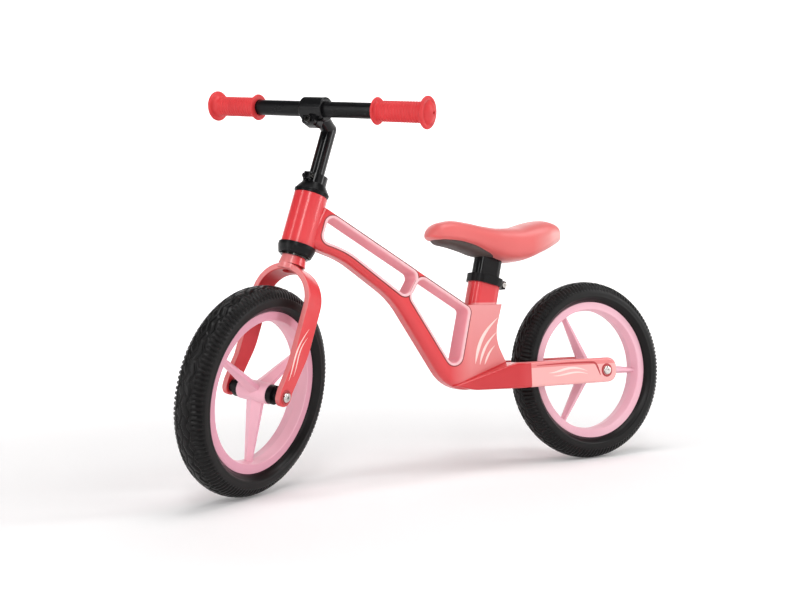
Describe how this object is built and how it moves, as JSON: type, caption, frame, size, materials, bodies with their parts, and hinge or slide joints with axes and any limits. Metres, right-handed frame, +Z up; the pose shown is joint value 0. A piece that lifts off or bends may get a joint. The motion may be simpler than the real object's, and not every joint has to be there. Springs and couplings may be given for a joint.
{
  "type": "balance bike",
  "caption": "Child's pedal-less balance bike: cast frame with two windows, arch fork, foam-tyred spoked wheels, straight handlebar and height-adjustable saddle.",
  "frame": {"origin": "on the ground, in the centre plane, midway between the two axles of the straight bike", "axes": "+X forward, +Y to the rider's left, +Z up"},
  "size_m": [0.8548, 0.327, 0.5976],
  "materials": {
    "coral_paint": "gloss",
    "pink_nylon": "satin",
    "black_steel": "satin",
    "black_plastic": "matte",
    "bright_steel": "satin",
    "tyre_foam": "matte",
    "coral_rubber": "matte",
    "saddle_skin": "satin",
    "saddle_shell": "matte"
  },
  "bodies": {
    "frame": {"frame": "coral_paint", "lower_cup": "black_steel", "upper_cup": "black_steel", "lower_balls": "bright_steel", "seat_clamp": "black_plastic", "seat_clamp_bolt": "bright_steel", "rear_axle": "bright_steel", "rear_axle_bolts": "bright_steel", "rear_spacers": "black_plastic"},
    "fork": {"fork": "coral_paint", "crown_race": "black_steel", "upper_balls": "bright_steel", "upper_race": "black_steel", "headset_cover": "black_plastic", "post_clamp": "black_steel", "post_clamp_bolt": "bright_steel", "front_axle": "bright_steel", "front_axle_bolts": "bright_steel", "front_spacers": "black_plastic"},
    "stem": {"stem": "black_steel", "stem_bolt": "bright_steel", "handlebar": "black_steel", "left_grip": "coral_rubber", "right_grip": "coral_rubber"},
    "front_wheel": {"front_wheel": "pink_nylon", "front_tyre": "tyre_foam", "front_bearings": "bright_steel", "front_bearing_spacer": "bright_steel", "front_hub_caps": "black_plastic"},
    "rear_wheel": {"rear_wheel": "pink_nylon", "rear_tyre": "tyre_foam", "rear_bearings": "bright_steel", "rear_bearing_spacer": "bright_steel", "rear_hub_caps": "black_plastic"},
    "seat": {"seat_post": "black_plastic", "saddle_base": "saddle_shell", "saddle_pad": "saddle_skin", "saddle_screws": "bright_steel"}
  },
  "joints": [
    {"name": "steering", "type": "hinge", "parent": "frame", "child": "fork", "pos_m": [0.21266, 0, 0.38085], "axis": [-0.3057, 0, 0.9521], "continuous": true},
    {"name": "front_wheel_spin", "type": "hinge", "parent": "fork", "child": "front_wheel", "pos_m": [0.2896, 0.00132, 0.14737], "axis": [-0.5461, 0.8192, -0.1753], "continuous": true},
    {"name": "rear_wheel_spin", "type": "hinge", "parent": "frame", "child": "rear_wheel", "pos_m": [-0.29, 0, 0.1475], "axis": [0, 1, 0], "continuous": true},
    {"name": "bar_height", "type": "slide", "parent": "fork", "child": "stem", "axis": [-0.3057, 0, 0.9521], "range_m": [-0.04, 0.045]},
    {"name": "seat_height", "type": "slide", "parent": "frame", "child": "seat", "axis": [-0.2419, 0, 0.9703], "range_m": [-0.008, 0.055]}
  ]
}
